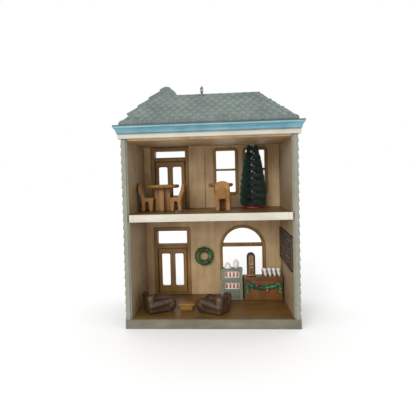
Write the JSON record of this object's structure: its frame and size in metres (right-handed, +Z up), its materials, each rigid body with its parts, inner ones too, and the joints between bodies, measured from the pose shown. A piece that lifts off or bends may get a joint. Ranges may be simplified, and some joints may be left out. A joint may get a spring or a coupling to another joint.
{
  "type": "dollhouse",
  "caption": "Open-backed two-storey Victorian cafe dollhouse with hinged double doors, a hipped roof, a hanging eye and fixed furniture in both rooms.",
  "frame": {"origin": "centre of the plinth's underside", "axes": "+Z up, the open room side faces -Y and the street side faces +Y, +X to the right as seen from the open side"},
  "size_m": [0.0853, 0.0587, 0.117],
  "materials": {
    "plinth_paint": "satin hand-applied paint on moulded plastic",
    "siding_paint": "satin hand-applied paint on moulded plastic",
    "room_paint": "satin hand-applied paint on moulded plastic",
    "floor_paint": "satin hand-applied paint on moulded plastic",
    "trim_paint": "satin hand-applied paint on moulded plastic",
    "crown_paint": "satin hand-applied paint on moulded plastic",
    "shingle_paint": "satin hand-applied paint on moulded plastic",
    "joinery_paint": "satin hand-applied paint on moulded plastic",
    "armchair_paint": "satin hand-applied paint on moulded plastic",
    "table_paint": "satin hand-applied paint on moulded plastic",
    "stool_paint": "satin hand-applied paint on moulded plastic",
    "case_paint": "satin hand-applied paint on moulded plastic",
    "pastry_paint": "satin hand-applied paint on moulded plastic",
    "white_paint": "satin hand-applied paint on moulded plastic",
    "counter_paint": "satin hand-applied paint on moulded plastic",
    "counter_top_paint": "satin hand-applied paint on moulded plastic",
    "evergreen_paint": "satin hand-applied paint on moulded plastic",
    "board_paint": "satin hand-applied paint on moulded plastic",
    "boiler_paint": "satin hand-applied paint on moulded plastic",
    "eye_wire": "bright twisted wire",
    "tree_base_paint": "satin hand-applied paint on moulded plastic",
    "tree_bristle": "matt crimped bristle on twisted wire"
  },
  "bodies": {
    "house": {"base_plinth": "plinth_paint", "street_step": "plinth_paint", "left_wall": "siding_paint", "right_wall": "siding_paint", "bay_wall_lower": "siding_paint", "bay_wall_upper": "siding_paint", "shop_wall_lower": "siding_paint", "shop_wall_upper": "siding_paint", "gable_wall": "siding_paint", "left_lining": "room_paint", "right_lining": "room_paint", "back_lining_lower": "room_paint", "back_lining_upper": "room_paint", "mid_floor": "room_paint", "ceiling_lining": "room_paint", "ground_floor": "floor_paint", "upper_floor": "floor_paint", "mid_fascia": "trim_paint", "frieze": "trim_paint", "door_outer_casings": "trim_paint", "arch_outer_casing": "trim_paint", "sash_outer_casings": "trim_paint", "balcony_deck": "trim_paint", "balcony_railing": "trim_paint", "crown_cornice": "crown_paint", "main_roof": "shingle_paint", "gable_roof": "shingle_paint", "hanger_bush": "shingle_paint", "lower_door_frame": "joinery_paint", "upper_door_frame": "joinery_paint", "arch_window_frame": "joinery_paint", "left_sash_window": "joinery_paint", "right_sash_window": "joinery_paint", "left_armchair": "armchair_paint", "right_armchair": "armchair_paint", "dining_table": "table_paint", "left_dining_chair": "table_paint", "right_dining_chair": "table_paint", "small_table": "table_paint", "small_table_chair": "table_paint", "footstool": "stool_paint", "pastry_case": "case_paint", "pastries": "pastry_paint", "cake_dome": "white_paint", "cake_jar": "white_paint", "cup_rack": "white_paint", "counter_cabinet": "counter_paint", "counter_top": "counter_top_paint", "wreath": "evergreen_paint", "counter_garland": "evergreen_paint", "menu_board": "board_paint", "coffee_boiler": "boiler_paint", "tree_base": "tree_base_paint", "bristle_tree": "tree_bristle"},
    "lower_left_door": {"lower_left_door": "joinery_paint"},
    "lower_right_door": {"lower_right_door": "joinery_paint"},
    "upper_left_door": {"upper_left_door": "joinery_paint"},
    "upper_right_door": {"upper_right_door": "joinery_paint"},
    "hanger_eye": {"hanger_eye": "eye_wire"}
  },
  "joints": [
    {"name": "lower_left_door_hinge", "type": "hinge", "parent": "house", "child": "lower_left_door", "pos_m": [-0.03015, 0.0186, 0.018], "axis": [0, 0, -1], "range_deg": [0, 90]},
    {"name": "lower_right_door_hinge", "type": "hinge", "parent": "house", "child": "lower_right_door", "pos_m": [-0.01525, 0.0186, 0.018], "axis": [0, 0, 1], "range_deg": [0, 90]},
    {"name": "upper_left_door_hinge", "type": "hinge", "parent": "house", "child": "upper_left_door", "pos_m": [-0.03035, 0.0174, 0.066], "axis": [0, 0, -1], "range_deg": [0, 90]},
    {"name": "upper_right_door_hinge", "type": "hinge", "parent": "house", "child": "upper_right_door", "pos_m": [-0.01505, 0.0174, 0.066], "axis": [0, 0, 1], "range_deg": [0, 90]},
    {"name": "hanger_eye_swivel", "type": "hinge", "parent": "house", "child": "hanger_eye", "pos_m": [-0.0033, -0.00178, 0.11], "axis": [0, 0, 1], "continuous": true}
  ]
}
